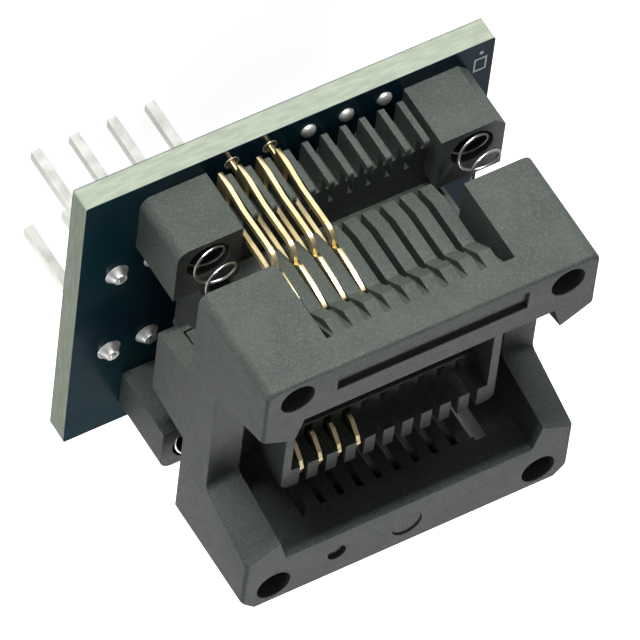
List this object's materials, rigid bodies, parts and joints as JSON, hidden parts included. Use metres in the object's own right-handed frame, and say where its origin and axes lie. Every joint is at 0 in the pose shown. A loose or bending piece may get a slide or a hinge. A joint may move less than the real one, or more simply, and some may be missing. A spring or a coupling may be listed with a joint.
{
  "type": "chip programming adapter",
  "caption": "Small circuit board with a sprung open-top test socket for a surface-mount chip on top and a through-hole pin header in two rows under one end.",
  "frame": {"origin": "centre of the header's pin pattern, on the underside of the two moulded pin strips", "axes": "+Z from the pins up to the pressing lid, +X along the board towards the header end, +Y across the board towards the side with the lid's dimple"},
  "size_m": [0.0272, 0.0234, 0.0254],
  "materials": {
    "board": "blue solder mask over glass-fibre board",
    "strip_moulding": "fine matt moulding",
    "base_moulding": "fine matt glass-filled moulding",
    "lid_moulding": "fine matt glass-filled moulding",
    "header_pins": "bright tin plate",
    "solder": "solder",
    "contacts": "thin pale gold plate",
    "springs": "drawn stainless wire"
  },
  "bodies": {
    "base": {"board": "board", "header_strip_front": "strip_moulding", "header_strip_rear": "strip_moulding", "header_pin_1": "header_pins", "header_pin_2": "header_pins", "header_pin_3": "header_pins", "header_pin_4": "header_pins", "header_pin_5": "header_pins", "header_pin_6": "header_pins", "header_pin_7": "header_pins", "header_pin_8": "header_pins", "header_solder": "solder", "tail_solder": "solder", "socket_base": "base_moulding", "contact_front_1": "contacts", "contact_front_2": "contacts", "contact_front_3": "contacts", "contact_front_4": "contacts", "contact_rear_1": "contacts", "contact_rear_2": "contacts", "contact_rear_3": "contacts", "contact_rear_4": "contacts", "spring_front_left": "springs", "spring_front_right": "springs", "spring_rear_left": "springs", "spring_rear_right": "springs"},
    "lid": {"lid": "lid_moulding"}
  },
  "joints": [
    {"name": "lid_press", "type": "slide", "parent": "base", "child": "lid", "axis": [0, 0, -1], "range_m": [0, 0.0019], "stiffness_N_per_m": 2000, "springref_m": -0.002, "deforming": ["spring_front_left", "spring_front_right", "spring_rear_left", "spring_rear_right", "contact_front_1", "contact_front_2", "contact_front_3", "contact_front_4", "contact_rear_1", "contact_rear_2", "contact_rear_3", "contact_rear_4"]}
  ]
}
